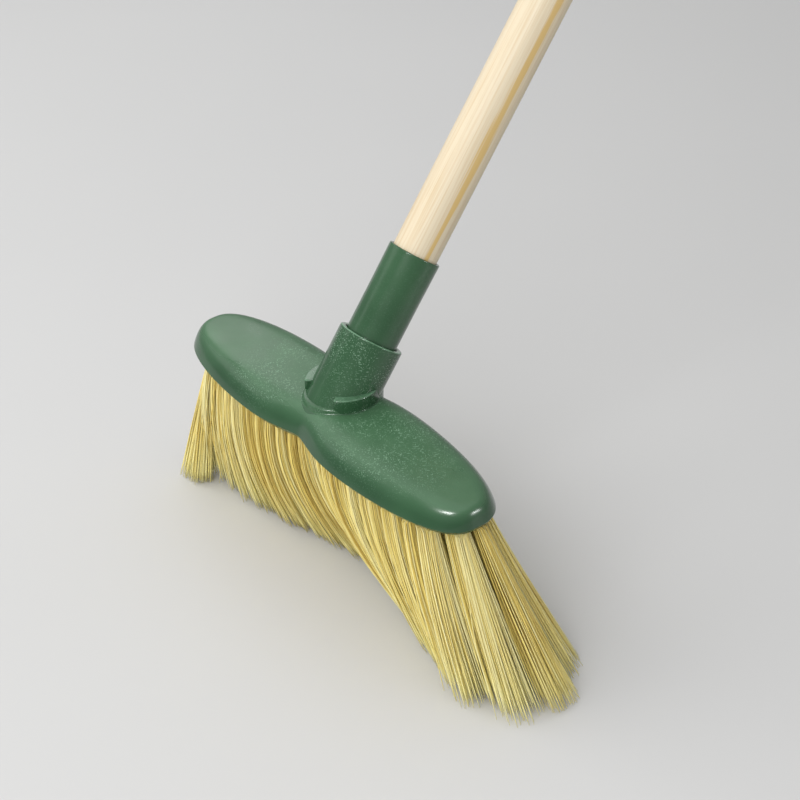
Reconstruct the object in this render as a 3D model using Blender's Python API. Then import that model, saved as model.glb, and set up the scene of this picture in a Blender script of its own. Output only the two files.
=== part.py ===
"""A household broom, in metres, +Z up, standing on its bristle tips.

The head is one moulding: a two-lobed domed block with a leaning socket, two gussets beside the socket
foot and blind holes underneath, one for each tuft. A wooden pole sits in a plastic ferrule, a brad keeps
them together, and the ferrule's lower end stands in the socket. The bristles are swept as in use.
"""
import math

import bmesh
import bpy
import numpy as np
from mathutils import Vector
from mathutils.geometry import delaunay_2d_cdt

# General clearances
SEAT_GAP = 0.0003
CUT_OVERRUN = 0.004

# Head block
HEAD_LENGTH = 0.2703
HEAD_WIDTH = 0.0754
OUTLINE_POWER = 2.76
WAIST_DEPTH = 0.0085
WAIST_REACH = 0.0225
WAIST_POWER = 1.5
SKIRT_HEIGHT = 0.0033
SKIRT_DRAFT = 0.0025
DOME_HEIGHT = 0.0163
DOME_POWER = 6.2
SPINE_END = 0.014
CROWN_DROP = 0.0056
CROWN_POWER = 2.5
UNDERSIDE_EDGE = 0.0006
OUTLINE_STEPS = 44
OUTLINE_DENSITY_SHARE = 0.5
DOME_SHARES = (1.0, 0.99, 0.972, 0.948, 0.918, 0.882, 0.84, 0.785, 0.715, 0.61, 0.4, 0.15)

# Pole
POLE_RADIUS = 0.0145
POLE_LENGTH = 1.2
POLE_TIP_CHAMFER = 0.002
POLE_CROWN = 0.006
POLE_SIDES = 40

# Ferrule: a cup around the pole, with heights measured along the socket's axis
FERRULE_WALL = 0.0018
FERRULE_RADIUS = POLE_RADIUS + SEAT_GAP + FERRULE_WALL
FERRULE_FLARE = 0.0002
FERRULE_TOP_RADIUS = FERRULE_RADIUS + FERRULE_FLARE
FERRULE_ABOVE_SOCKET = 0.0579
FERRULE_FLARE_LENGTH = 0.0238
FERRULE_CLEARANCE = 0.0005
FERRULE_FLOOR_THICKNESS = 0.004
FERRULE_TIP_CHAMFER = 0.0015
FERRULE_RIM_ROUND = 0.001

# Handle socket, measured along its own axis from the foot point
SOCKET_LEAN = math.radians(35.7)
SOCKET_FOOT_Y = 0.0033
SOCKET_FOOT_Z = 0.015
SOCKET_WALL = 0.0038
SOCKET_RADIUS = FERRULE_RADIUS + FERRULE_CLEARANCE + SOCKET_WALL
SOCKET_LENGTH = 0.0439
SOCKET_FLOOR = 0.012
SOCKET_RIM_ROUND = 0.0009
SOCKET_MOUTH_CHAMFER = 0.0006
SOCKET_ROOT_FRONT_Z = 0.0110
SOCKET_ROOT_BACK_Z = 0.009
SOCKET_SIDES = 48
FERRULE_TOP = SOCKET_LENGTH + FERRULE_ABOVE_SOCKET
FERRULE_FLARE_START = FERRULE_TOP - FERRULE_FLARE_LENGTH

# Gussets beside the socket foot, as upright slices of a ring
GUSSET_STAND_OUT = 0.0023
GUSSET_RADIUS = SOCKET_RADIUS + GUSSET_STAND_OUT
GUSSET_THICKNESS = 0.0045
GUSSET_CENTRE_Y = 0.006
GUSSET_FRONT_ANGLE = math.radians(-52)
GUSSET_BACK_ANGLE = math.radians(50)
GUSSET_ROOT_Z = 0.009
GUSSET_TOP_Z = 0.029
GUSSET_EDGE = 0.0008
GUSSET_STEPS = 14

# Brad through the ferrule wall into the pole
BRAD_BELOW_RIM = 0.0075
BRAD_TURN = math.radians(-16)
BRAD_SHANK_RADIUS = 0.0008
BRAD_HEAD_RADIUS = 0.0014
BRAD_HEAD_THICKNESS = 0.0006
BRAD_RECESS = 0.0002
BRAD_LENGTH = 0.011
BRAD_SIDES = 12

# Tuft holes: two outer rows follow the outline, two inner rows lie a third of the way out,
# and three holes fill each round end
OUTER_ROW_END_MARGIN = 0.03395
TUFT_EDGE_MARGIN = 0.0100
OUTER_COLUMNS = 12
TUFT_PITCH = (HEAD_LENGTH - 2 * OUTER_ROW_END_MARGIN) / (OUTER_COLUMNS - 1)
INNER_COLUMNS = 11
INNER_ROW_SHARE = 1 / 3
END_TUFT_INSET = 0.01065
END_PAIR_INSET = 0.02215
END_PAIR_OFFSET = 0.012
TUFT_HOLE_DEPTH = 0.010
TUFT_ROOT_RADIUS = 0.0033
TUFT_SIDES = 8

# Bristles, swept from the underside down to the floor
BRISTLE_HEIGHT = 0.104
STRAND_RADIUS = 0.00095
STRAND_RING_RADIUS = 0.0022
STRANDS_IN_RING = 5
STRAND_SIDES = 3
STRAND_LEVEL_SHARES = (0.0, 0.36, 0.70, 1.0)
SPLAY_SHARE = 1.2
RIGHT_FAN_LENGTHWAYS = 0.071
RIGHT_SKEW_LENGTHWAYS = 0.040
LEFT_CLUMP_LENGTHWAYS = 0.017
LEFT_CLUMP_START_SHARE = 0.66
LEFT_CLUMP_SOFT_SHARE = 0.05
SWEEP_LENGTHWAYS = 0.040
SWEEP_MIDDLE_SHARE = 0.19
SWEEP_SPREAD_SHARE = 0.25
FAN_SIDEWAYS = 0.016
RIGHT_FAN_SIDEWAYS = 0.025
LEFT_CLUMP_SIDEWAYS = 0.044
PUSH_SIDEWAYS = 0.038
PUSH_FRONT_SHARE = 0.12

# Arc steps used for small rounded edges
ROUND_STEPS = 4
# Points of a filled face closer than this share of a strand's radius count as one
MERGE_SHARE = 1e-4


def clear_scene():
    """Remove whatever the scene starts with."""
    for item in list(bpy.data.objects):
        bpy.data.objects.remove(item, do_unlink=True)


def make_material(name, colour, roughness, metallic=0.0):
    """Return a Principled material with one colour, roughness and metallic value."""
    material = bpy.data.materials.new(name)
    material.use_nodes = True
    shader = material.node_tree.nodes["Principled BSDF"]
    shader.inputs["Base Color"].default_value = (*colour, 1.0)
    shader.inputs["Roughness"].default_value = roughness
    shader.inputs["Metallic"].default_value = metallic
    material.diffuse_color = (*colour, 1.0)
    return material


def mesh_object(name, vertices, faces, material=None, parent=None, smooth=True):
    """Make an object from vertices and faces, shaded smooth between its sharp edges."""
    mesh = bpy.data.meshes.new(name)
    mesh.from_pydata([tuple(map(float, vertex)) for vertex in vertices], [], faces)
    mesh.update()
    if smooth:
        mesh.shade_smooth()
        mesh.set_sharp_from_angle(angle=math.radians(40))
    item = bpy.data.objects.new(name, mesh)
    bpy.context.scene.collection.objects.link(item)
    if material is not None:
        mesh.materials.append(material)
    item.parent = parent
    return item


def loft(rings):
    """Return vertices and outward faces of a closed solid through equal rings, bottom to top.

    Each ring runs anticlockwise seen from above. A ring of one point closes an end in a fan.
    """
    vertices = [point for ring in rings for point in ring]
    starts = np.cumsum([0] + [len(ring) for ring in rings])
    count = max(len(ring) for ring in rings)
    faces = []
    for level in range(len(rings) - 1):
        low, high = int(starts[level]), int(starts[level + 1])
        for side in range(count):
            after = (side + 1) % count
            if len(rings[level]) == 1:
                faces.append((low, high + after, high + side))
            elif len(rings[level + 1]) == 1:
                faces.append((low + side, low + after, high))
            else:
                faces.append((low + side, low + after, high + after, high + side))
    if len(rings[0]) > 1:
        faces.append(tuple(reversed(range(count))))
    if len(rings[-1]) > 1:
        faces.append(tuple(range(int(starts[-2]), int(starts[-2]) + count)))
    return vertices, faces


def turned(profile, sides):
    """Return vertices and faces of a solid turned about Z from (height, radius) pairs, bottom to top."""
    angles = np.arange(sides) * 2 * math.pi / sides
    rings = []
    for height, radius in profile:
        if radius == 0:
            rings.append([(0, 0, height)])
        else:
            rings.append([(radius * math.cos(a), radius * math.sin(a), height) for a in angles])
    return loft(rings)


def round_corner(height, radius, size, start_angle, end_angle):
    """Return (height, radius) pairs along an arc of the given size about a centre in the profile."""
    angles = np.linspace(start_angle, end_angle, ROUND_STEPS + 1)
    return [(height + size * math.sin(a), radius + size * math.cos(a)) for a in angles]


def mark_cutter(item):
    """Keep a cutter or a tool solid out of the finished model."""
    item.hide_render = True
    item.display_type = 'WIRE'


def combine(item, tool, operation):
    """Add a live Boolean of the tool to the item."""
    modifier = item.modifiers.new(f"{operation.lower()} {tool.name}", 'BOOLEAN')
    modifier.operation = operation
    modifier.solver = 'EXACT'
    modifier.object = tool
    mark_cutter(tool)


def half_width(x):
    """Return the head's half width at x: a superellipse drawn in at the waist."""
    along = np.clip(np.abs(x) / (HEAD_LENGTH / 2), 0, 1)
    full = HEAD_WIDTH / 2 * (1 - along ** OUTLINE_POWER) ** (1 / OUTLINE_POWER)
    drawn_in = WAIST_DEPTH / (HEAD_WIDTH / 2) * np.exp(-(np.abs(x) / WAIST_REACH) ** WAIST_POWER)
    return full * (1 - drawn_in)


def head_outline():
    """Return the outline's x and y, anticlockwise, with more points at the waist and the ends."""
    steps = np.linspace(-1, 1, OUTLINE_STEPS + 1)
    steps = steps - OUTLINE_DENSITY_SHARE * np.sin(2 * math.pi * steps) / (2 * math.pi)
    x = HEAD_LENGTH / 2 * np.sin(math.pi / 2 * steps)
    front = np.stack([x, -half_width(x)], 1)
    back = np.stack([x[::-1], half_width(x[::-1])], 1)
    return np.concatenate([front[:-1], back[:-1]])


def dome_height(share):
    """Return the height above the underside at a share of the way from the spine to the rim."""
    return SKIRT_HEIGHT + DOME_HEIGHT * (1 - share ** DOME_POWER)


def head_ring(share, z):
    """Return the outline drawn in towards the spine, at height z above the underside.

    The ring sinks a little towards both ends, the more the higher it lies.
    """
    outline = head_outline()
    spine_share = 1 - SPINE_END / (HEAD_LENGTH / 2)
    x = outline[:, 0] * (spine_share + (1 - spine_share) * share)
    top_share = z / (SKIRT_HEIGHT + DOME_HEIGHT)
    drop = CROWN_DROP * np.abs(x / (HEAD_LENGTH / 2)) ** CROWN_POWER * top_share
    return [(px, py * share, BRISTLE_HEIGHT + z - pz) for px, py, pz in zip(x, outline[:, 1], drop)]


def socket_foot():
    """Return the point on the socket's axis from which its lengths are measured."""
    return Vector((0, SOCKET_FOOT_Y, BRISTLE_HEIGHT + SOCKET_FOOT_Z))


def tuft_places():
    """Return (name, x, y) for every tuft hole."""
    rows = (
        ("front", OUTER_COLUMNS, -1.0),
        ("mid_front", INNER_COLUMNS, -INNER_ROW_SHARE),
        ("mid_back", INNER_COLUMNS, INNER_ROW_SHARE),
        ("back", OUTER_COLUMNS, 1.0),
    )
    places = []
    for row, columns, share in rows:
        for column in range(columns):
            x = (column - (columns - 1) / 2) * TUFT_PITCH
            y = share * (float(half_width(x)) - TUFT_EDGE_MARGIN)
            places.append((f"tuft_{row}_{column + 1:02d}", x, y))
    for end, side in (("left", -1), ("right", 1)):
        pair_x = side * (HEAD_LENGTH / 2 - END_PAIR_INSET)
        places.append((f"tuft_{end}_front", pair_x, -END_PAIR_OFFSET))
        places.append((f"tuft_{end}_end", side * (HEAD_LENGTH / 2 - END_TUFT_INSET), 0.0))
        places.append((f"tuft_{end}_back", pair_x, END_PAIR_OFFSET))
    return places


def polygon_ring(x, y, z, radius, sides, turn=0.0):
    """Return a level regular polygon."""
    angles = turn + np.arange(sides) * 2 * math.pi / sides
    return [(x + radius * math.cos(a), y + radius * math.sin(a), z) for a in angles]


def build_socket(parent):
    """Return the leaning socket as a solid, its root cut off inside the block."""
    profile = [(-SOCKET_LENGTH, SOCKET_RADIUS)]
    profile += round_corner(SOCKET_LENGTH - SOCKET_RIM_ROUND, SOCKET_RADIUS - SOCKET_RIM_ROUND,
                            SOCKET_RIM_ROUND, 0, math.pi / 2)
    vertices, faces = turned(profile, SOCKET_SIDES)
    socket = mesh_object("socket_tool", vertices, faces, parent=parent)
    socket.location = socket_foot()
    socket.rotation_euler = (-SOCKET_LEAN, 0, 0)
    bpy.context.view_layer.update()

    slope = (SOCKET_ROOT_FRONT_Z - SOCKET_ROOT_BACK_Z) / HEAD_WIDTH
    middle = BRISTLE_HEIGHT + (SOCKET_ROOT_FRONT_Z + SOCKET_ROOT_BACK_Z) / 2
    to_local = socket.matrix_local.inverted()
    bm = bmesh.new()
    bm.from_mesh(socket.data)
    cut = bmesh.ops.bisect_plane(
        bm, geom=bm.verts[:] + bm.edges[:] + bm.faces[:],
        plane_co=to_local @ Vector((0, 0, middle)),
        plane_no=to_local.to_3x3() @ Vector((0, slope, 1)),
        clear_inner=True,
    )
    rim = [item for item in cut["geom_cut"] if isinstance(item, bmesh.types.BMEdge)]
    bmesh.ops.contextual_create(bm, geom=rim)
    bmesh.ops.recalc_face_normals(bm, faces=bm.faces[:])
    bm.to_mesh(socket.data)
    bm.free()
    return socket


def build_socket_bore(parent):
    """Return the cutter for the socket's blind bore, with a small chamfer at the mouth."""
    radius = FERRULE_RADIUS + FERRULE_CLEARANCE
    mouth = radius + SOCKET_MOUTH_CHAMFER
    profile = [
        (SOCKET_FLOOR, radius),
        (SOCKET_LENGTH - SOCKET_MOUTH_CHAMFER, radius),
        (SOCKET_LENGTH, mouth),
        (SOCKET_LENGTH + CUT_OVERRUN, mouth),
    ]
    vertices, faces = turned(profile, SOCKET_SIDES)
    bore = mesh_object("socket_bore_cutter", vertices, faces, parent=parent)
    bore.location = socket_foot()
    bore.rotation_euler = (-SOCKET_LEAN, 0, 0)
    return bore


def gusset_outline(inset):
    """Return the right-hand gusset's plan, anticlockwise: an arc outside, a round front end, an arc inside."""
    outer = GUSSET_RADIUS - inset
    middle = GUSSET_RADIUS - GUSSET_THICKNESS / 2
    inner = GUSSET_RADIUS - GUSSET_THICKNESS + inset
    points = []
    for angle in np.linspace(GUSSET_FRONT_ANGLE, GUSSET_BACK_ANGLE, GUSSET_STEPS + 1):
        points.append((outer * math.cos(angle), outer * math.sin(angle)))
    for angle in np.linspace(GUSSET_BACK_ANGLE, GUSSET_FRONT_ANGLE, GUSSET_STEPS + 1):
        points.append((inner * math.cos(angle), inner * math.sin(angle)))
    centre = Vector((middle * math.cos(GUSSET_FRONT_ANGLE), middle * math.sin(GUSSET_FRONT_ANGLE)))
    size = GUSSET_THICKNESS / 2 - inset
    for turn in np.linspace(math.pi, 2 * math.pi, 2 * ROUND_STEPS + 1)[1:-1]:
        angle = GUSSET_FRONT_ANGLE + turn
        points.append((centre.x + size * math.cos(angle), centre.y + size * math.sin(angle)))
    return [(x, y + GUSSET_CENTRE_Y) for x, y in points]


def build_gusset(side, parent):
    """Return one gusset; side is 1 for +X and -1 for -X."""
    levels = (
        (GUSSET_ROOT_Z, 0.0),
        (GUSSET_TOP_Z - GUSSET_EDGE, 0.0),
        (GUSSET_TOP_Z, GUSSET_EDGE),
    )
    rings = []
    for z, inset in levels:
        ring = [(side * x, y, BRISTLE_HEIGHT + z) for x, y in gusset_outline(inset)]
        rings.append(ring if side > 0 else list(reversed(ring)))
    vertices, faces = loft(rings)
    name = "gusset_right_tool" if side > 0 else "gusset_left_tool"
    return mesh_object(name, vertices, faces, parent=parent)


def build_tuft_hole_cutter(parent):
    """Return one cutter that holds every blind tuft hole."""
    vertices, faces = [], []
    radius = TUFT_ROOT_RADIUS + SEAT_GAP
    for _, x, y in tuft_places():
        low = polygon_ring(x, y, BRISTLE_HEIGHT - CUT_OVERRUN, radius, TUFT_SIDES)
        high = polygon_ring(x, y, BRISTLE_HEIGHT + TUFT_HOLE_DEPTH, radius, TUFT_SIDES)
        points, sides = loft([low, high])
        faces += [tuple(index + len(vertices) for index in face) for face in sides]
        vertices += points
    return mesh_object("tuft_hole_cutter", vertices, faces, parent=parent)


def crown_faces(start):
    """Return upward faces that close the top ring with strips from its front side to its back side."""
    faces = []
    count = 2 * OUTLINE_STEPS
    for step in range(OUTLINE_STEPS):
        corners = (step, step + 1, (count - step - 1) % count, (count - step) % count)
        faces.append(tuple(start + corner for corner in dict.fromkeys(corners)))
    return faces


def build_head(material, parent):
    """Build the head: block, socket and gussets joined, then the bore and the tuft holes cut."""
    draft_share = SKIRT_DRAFT / (HEAD_WIDTH / 2)
    edge_share = UNDERSIDE_EDGE / (HEAD_WIDTH / 2)
    rings = [
        head_ring(1 - draft_share - edge_share, 0.0),
        head_ring(1 - draft_share * (1 - UNDERSIDE_EDGE / SKIRT_HEIGHT), UNDERSIDE_EDGE),
    ]
    rings += [head_ring(share, dome_height(share)) for share in DOME_SHARES]
    vertices, faces = loft(rings)
    faces[-1:] = crown_faces(len(vertices) - 2 * OUTLINE_STEPS)
    head = mesh_object("broom_head", vertices, faces, material, parent)
    combine(head, build_socket(parent), 'UNION')
    combine(head, build_gusset(1, parent), 'UNION')
    combine(head, build_gusset(-1, parent), 'UNION')
    combine(head, build_socket_bore(parent), 'DIFFERENCE')
    combine(head, build_tuft_hole_cutter(parent), 'DIFFERENCE')
    return head


def ferrule_radius_at(height):
    """Return the ferrule's outer radius at a height along the socket's axis."""
    share = (height - FERRULE_FLARE_START) / (FERRULE_TOP - FERRULE_FLARE_START)
    return FERRULE_RADIUS + (FERRULE_TOP_RADIUS - FERRULE_RADIUS) * min(max(share, 0), 1)


def build_ferrule(material, parent):
    """Build the ferrule: a straight cup that flares a little towards its rim."""
    tip = SOCKET_FLOOR + SEAT_GAP
    bore = POLE_RADIUS + SEAT_GAP
    lip = FERRULE_TOP_RADIUS - bore
    edge = min(FERRULE_RIM_ROUND, 0.7 * lip)
    profile = [
        (tip, FERRULE_RADIUS - FERRULE_TIP_CHAMFER),
        (tip + FERRULE_TIP_CHAMFER, FERRULE_RADIUS),
        (FERRULE_FLARE_START, FERRULE_RADIUS),
    ]
    profile += round_corner(FERRULE_TOP - edge, FERRULE_TOP_RADIUS - edge, edge, 0, math.pi / 2)
    profile += [
        (FERRULE_TOP, bore),
        (tip + FERRULE_FLOOR_THICKNESS, bore),
    ]
    vertices, faces = turned(profile, SOCKET_SIDES)
    return mesh_object("ferrule", vertices, faces, material, parent)


def build_pole(material, parent):
    """Build the wooden pole with a chamfered lower end and a rounded upper end."""
    foot = SOCKET_FLOOR + SEAT_GAP + FERRULE_FLOOR_THICKNESS + SEAT_GAP
    head = foot + POLE_LENGTH
    profile = [
        (foot, POLE_RADIUS - POLE_TIP_CHAMFER),
        (foot + POLE_TIP_CHAMFER, POLE_RADIUS),
        (head - POLE_CROWN, POLE_RADIUS),
    ]
    for angle in np.linspace(0, math.pi / 2, ROUND_STEPS + 2)[1:-1]:
        profile.append((head - POLE_CROWN + POLE_CROWN * math.sin(angle), POLE_RADIUS * math.cos(angle)))
    profile.append((head, 0))
    vertices, faces = turned(profile, POLE_SIDES)
    return mesh_object("pole", vertices, faces, material, parent)


def place_across_pole(item):
    """Turn an item so that its +Z points out of the pole at the brad's place."""
    item.location = (0, 0, FERRULE_TOP - BRAD_BELOW_RIM)
    item.rotation_euler = (0, math.pi / 2, BRAD_TURN)


def build_brad(material, parent):
    """Build the brad and return it with the cutter for its hole."""
    surface = ferrule_radius_at(FERRULE_TOP - BRAD_BELOW_RIM)
    top = surface - BRAD_RECESS
    under_head = top - BRAD_HEAD_THICKNESS
    point = top - BRAD_LENGTH
    vertices, faces = turned([
        (point, 0),
        (point + 2 * BRAD_SHANK_RADIUS, BRAD_SHANK_RADIUS),
        (under_head, BRAD_SHANK_RADIUS),
        (under_head, BRAD_HEAD_RADIUS),
        (top, BRAD_HEAD_RADIUS),
    ], BRAD_SIDES)
    brad = mesh_object("ferrule_brad", vertices, faces, material, parent)
    place_across_pole(brad)

    hole = BRAD_SHANK_RADIUS + SEAT_GAP
    recess = BRAD_HEAD_RADIUS + SEAT_GAP
    vertices, faces = turned([
        (point - SEAT_GAP, hole),
        (under_head - SEAT_GAP, hole),
        (under_head - SEAT_GAP, recess),
        (surface + CUT_OVERRUN, recess),
    ], BRAD_SIDES)
    cutter = mesh_object("brad_hole_cutter", vertices, faces, parent=parent)
    place_across_pole(cutter)
    return brad, cutter


def strand_point(x, y, share):
    """Return where a strand rooted at (x, y) has got to at a share of its drop.

    The strand fans out in a straight line, and those at the left end lean away together as a clump. On top
    of that it bends like a rod held at its root: lengthways round the waist and sideways over the whole
    head. All this changes so slowly along the head that neighbouring strands never cross.
    """
    along = x / (HEAD_LENGTH / 2)
    across = y / (HEAD_WIDTH / 2)
    left, right = max(0, -along), max(0, along)
    clump = 1 / (1 + math.exp((LEFT_CLUMP_START_SHARE + along) / LEFT_CLUMP_SOFT_SHARE))
    fan_x = RIGHT_FAN_LENGTHWAYS * right + RIGHT_SKEW_LENGTHWAYS * right ** 4 * across
    fan_x -= LEFT_CLUMP_LENGTHWAYS * clump
    fan_y = FAN_SIDEWAYS * across + RIGHT_FAN_SIDEWAYS * right ** 4 * (across - across ** 2)
    fan_y -= LEFT_CLUMP_SIDEWAYS * left ** 8
    sweep = SWEEP_LENGTHWAYS * math.exp(-((along - SWEEP_MIDDLE_SHARE) / SWEEP_SPREAD_SHARE) ** 2)
    push = PUSH_SIDEWAYS * (1 - along ** 2) * (1 - PUSH_FRONT_SHARE * across)
    bend = share ** 2 * (3 - share) / 2
    return (
        x + fan_x * share + sweep * bend,
        y + fan_y * share + push * bend,
        BRISTLE_HEIGHT * (1 - share),
    )


def strand_offsets():
    """Return each strand's place in its tuft and the turn of its section: one in the middle, a ring round it."""
    places = [(0.0, 0.0, 0.0)]
    for number in range(STRANDS_IN_RING):
        angle = 2 * math.pi * (number + 0.5) / STRANDS_IN_RING
        inward = angle + math.pi
        places.append((STRAND_RING_RADIUS * math.cos(angle), STRAND_RING_RADIUS * math.sin(angle), inward))
    return places


def build_tuft(name, x, y, material, parent):
    """Build one tuft: its folded root in the blind hole and the strands that hang from it, as one solid."""
    top = BRISTLE_HEIGHT + TUFT_HOLE_DEPTH - SEAT_GAP
    vertices = polygon_ring(x, y, top, TUFT_ROOT_RADIUS, TUFT_SIDES)
    vertices += polygon_ring(x, y, BRISTLE_HEIGHT, TUFT_ROOT_RADIUS, TUFT_SIDES)
    faces = [tuple(range(TUFT_SIDES))]
    for side in range(TUFT_SIDES):
        after = (side + 1) % TUFT_SIDES
        faces.append((TUFT_SIDES + side, TUFT_SIDES + after, after, side))

    root_rings = [list(range(TUFT_SIDES, 2 * TUFT_SIDES))]
    for dx, dy, turn in strand_offsets():
        start = len(vertices)
        for share in STRAND_LEVEL_SHARES:
            spread = 1 + SPLAY_SHARE * share
            px, py, pz = strand_point(x + dx * spread, y + dy * spread, share)
            vertices += polygon_ring(px, py, pz, STRAND_RADIUS, STRAND_SIDES, turn)
        for level in range(len(STRAND_LEVEL_SHARES) - 1):
            upper = start + level * STRAND_SIDES
            lower = upper + STRAND_SIDES
            for side in range(STRAND_SIDES):
                after = (side + 1) % STRAND_SIDES
                faces.append((lower + side, lower + after, upper + after, upper + side))
        tip = start + (len(STRAND_LEVEL_SHARES) - 1) * STRAND_SIDES
        faces.append(tuple(reversed(range(tip, tip + STRAND_SIDES))))
        root_rings.append(list(range(start, start + STRAND_SIDES)))
    faces += root_face_triangles(vertices, root_rings)
    return mesh_object(name, vertices, faces, material, parent, smooth=False)


def root_face_triangles(vertices, rings):
    """Return downward triangles that fill the first ring around all the others."""
    numbers = [index for ring in rings for index in ring]
    points = [Vector(vertices[index][:2]) for index in numbers]
    edges, owner, start = [], [], 0
    for ring_number, ring in enumerate(rings):
        edges += [(start + step, start + (step + 1) % len(ring)) for step in range(len(ring))]
        owner += [ring_number] * len(ring)
        start += len(ring)
    _, _, triangles, sources, _, _ = delaunay_2d_cdt(points, edges, [], 1, STRAND_RADIUS * MERGE_SHARE)
    faces = []
    for triangle in triangles:
        corners = [sources[corner][0] for corner in triangle]
        owners = {owner[corner] for corner in corners}
        if len(owners) > 1 or owners == {0}:
            faces.append(tuple(numbers[corner] for corner in reversed(corners)))
    return faces


def centre_on_base(root):
    """Move the root so that the model's box is centred on the origin, its lowest point at zero height."""
    bpy.context.view_layer.update()
    graph = bpy.context.evaluated_depsgraph_get()
    corners = []
    for item in bpy.context.scene.objects:
        if item.type == 'MESH' and not item.hide_render:
            mesh = item.evaluated_get(graph).to_mesh()
            points = np.empty(3 * len(mesh.vertices), dtype=np.float32)
            mesh.vertices.foreach_get("co", points)
            points = points.reshape(-1, 3) @ np.array(item.matrix_world.to_3x3()).T
            points = points + np.array(item.matrix_world.translation)
            corners += [points.min(axis=0), points.max(axis=0)]
    low, high = np.min(corners, axis=0), np.max(corners, axis=0)
    middle = (low + high) / 2
    root.location = (-float(middle[0]), -float(middle[1]), 0)
    bpy.context.view_layer.update()


def make_empty(name, parent=None):
    """Return an empty that carries other objects."""
    empty = bpy.data.objects.new(name, None)
    bpy.context.scene.collection.objects.link(empty)
    empty.parent = parent
    return empty


def main():
    """Build the broom."""
    clear_scene()
    green = make_material("green plastic", (0.045, 0.150, 0.070), 0.35)
    wood = make_material("pale pine", (0.78, 0.62, 0.40), 0.50)
    steel = make_material("brad steel", (0.55, 0.55, 0.53), 0.35, 1.0)
    straw = make_material("straw bristle", (0.72, 0.60, 0.22), 0.45)

    root = make_empty("broom_origin")
    build_head(green, root)
    for name, x, y in tuft_places():
        build_tuft(name, x, y, straw, root)

    pole_frame = make_empty("pole_axis", root)
    pole_frame.location = socket_foot()
    pole_frame.rotation_euler = (-SOCKET_LEAN, 0, 0)
    ferrule = build_ferrule(green, pole_frame)
    pole = build_pole(wood, pole_frame)
    _, brad_hole = build_brad(steel, pole_frame)
    combine(ferrule, brad_hole, 'DIFFERENCE')
    combine(pole, brad_hole, 'DIFFERENCE')
    centre_on_base(root)


main()
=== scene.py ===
"""Finished look of the household broom: green head and ferrule, pine pole, swept straw-coloured bristles."""
import logging
import math
from abc import ABC, abstractmethod
from collections.abc import Callable
from dataclasses import dataclass, field
from enum import Enum

import bmesh
import bpy
import numpy as np
from bpy.types import Material, Node, NodeSocket, Object
from mathutils import Matrix, Vector
from mathutils.geometry import delaunay_2d_cdt


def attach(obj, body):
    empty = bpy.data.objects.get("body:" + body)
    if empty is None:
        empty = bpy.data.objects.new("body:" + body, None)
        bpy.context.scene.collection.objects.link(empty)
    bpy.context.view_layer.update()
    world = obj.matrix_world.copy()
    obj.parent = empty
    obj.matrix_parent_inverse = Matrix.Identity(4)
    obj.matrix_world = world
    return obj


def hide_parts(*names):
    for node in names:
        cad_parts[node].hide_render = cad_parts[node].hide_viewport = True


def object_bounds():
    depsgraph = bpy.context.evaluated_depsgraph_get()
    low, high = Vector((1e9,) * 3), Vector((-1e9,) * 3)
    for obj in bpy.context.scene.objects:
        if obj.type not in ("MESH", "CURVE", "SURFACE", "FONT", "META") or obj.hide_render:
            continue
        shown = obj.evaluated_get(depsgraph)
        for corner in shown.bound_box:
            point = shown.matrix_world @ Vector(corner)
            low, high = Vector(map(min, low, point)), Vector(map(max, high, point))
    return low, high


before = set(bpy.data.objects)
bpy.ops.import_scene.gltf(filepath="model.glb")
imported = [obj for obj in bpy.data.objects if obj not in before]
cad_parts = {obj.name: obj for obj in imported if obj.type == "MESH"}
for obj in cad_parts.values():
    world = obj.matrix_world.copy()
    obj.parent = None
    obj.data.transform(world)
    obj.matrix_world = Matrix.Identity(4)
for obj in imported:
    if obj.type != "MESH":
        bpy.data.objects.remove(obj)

Array = np.ndarray
LOG = logging.getLogger("broom")
CAD_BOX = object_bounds()
MERGE_DISTANCE = 2e-6
HALVINGS = 40
GOLDEN_ANGLE = 2.399963


class Body(Enum):
    """The two bodies that move against each other."""

    HEAD = "head"
    HANDLE = "handle"


class Slot(Enum):
    """The material slots of the broom."""

    GREEN = "green_plastic"
    PINE = "pale_pine"
    STEEL = "brad_steel"
    STRAW = "straw_bristle"


class Side(Enum):
    """The two sides of the head along its length."""

    LEFT = -1
    RIGHT = 1


class Glow(Enum):
    """What a light is for."""

    WHOLE = "lights and mirrors"
    SOFT = "lights only"
    GLINT = "mirrors only"


# Meshes


@dataclass
class Shell:
    """Points and faces of one closed surface.

    Args:
        points: array (n, 3) of places in metres.
        faces: index lists, anticlockwise seen from outside.
        values: named arrays (n,) that the material reads as attributes.
    """

    points: Array
    faces: list
    values: dict = field(default_factory=dict)


def grid_shell(points: Array, flip: bool = False, **values: object) -> Shell:
    """Close a grid of rows that run round a form: each row joins the next, the last column the first.

    Args:
        points: array (rows, columns, 3). A row whose points all coincide closes an end.
        flip: turn the faces the other way round.
        values: numbers that the material reads, as arrays that fit (rows, columns).

    Returns:
        The shell, with the coinciding points still separate.
    """
    number = np.arange(points[..., 0].size).reshape(points.shape[:2])
    low, high = number[:-1], number[1:]
    quads = np.stack([low, np.roll(low, -1, 1), np.roll(high, -1, 1), high], -1).reshape(-1, 4)
    if flip:
        quads = quads[:, ::-1]
    spread = {key: np.broadcast_to(value, number.shape).ravel() for key, value in values.items()}
    return Shell(points.reshape(-1, 3), quads.tolist(), spread)


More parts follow.
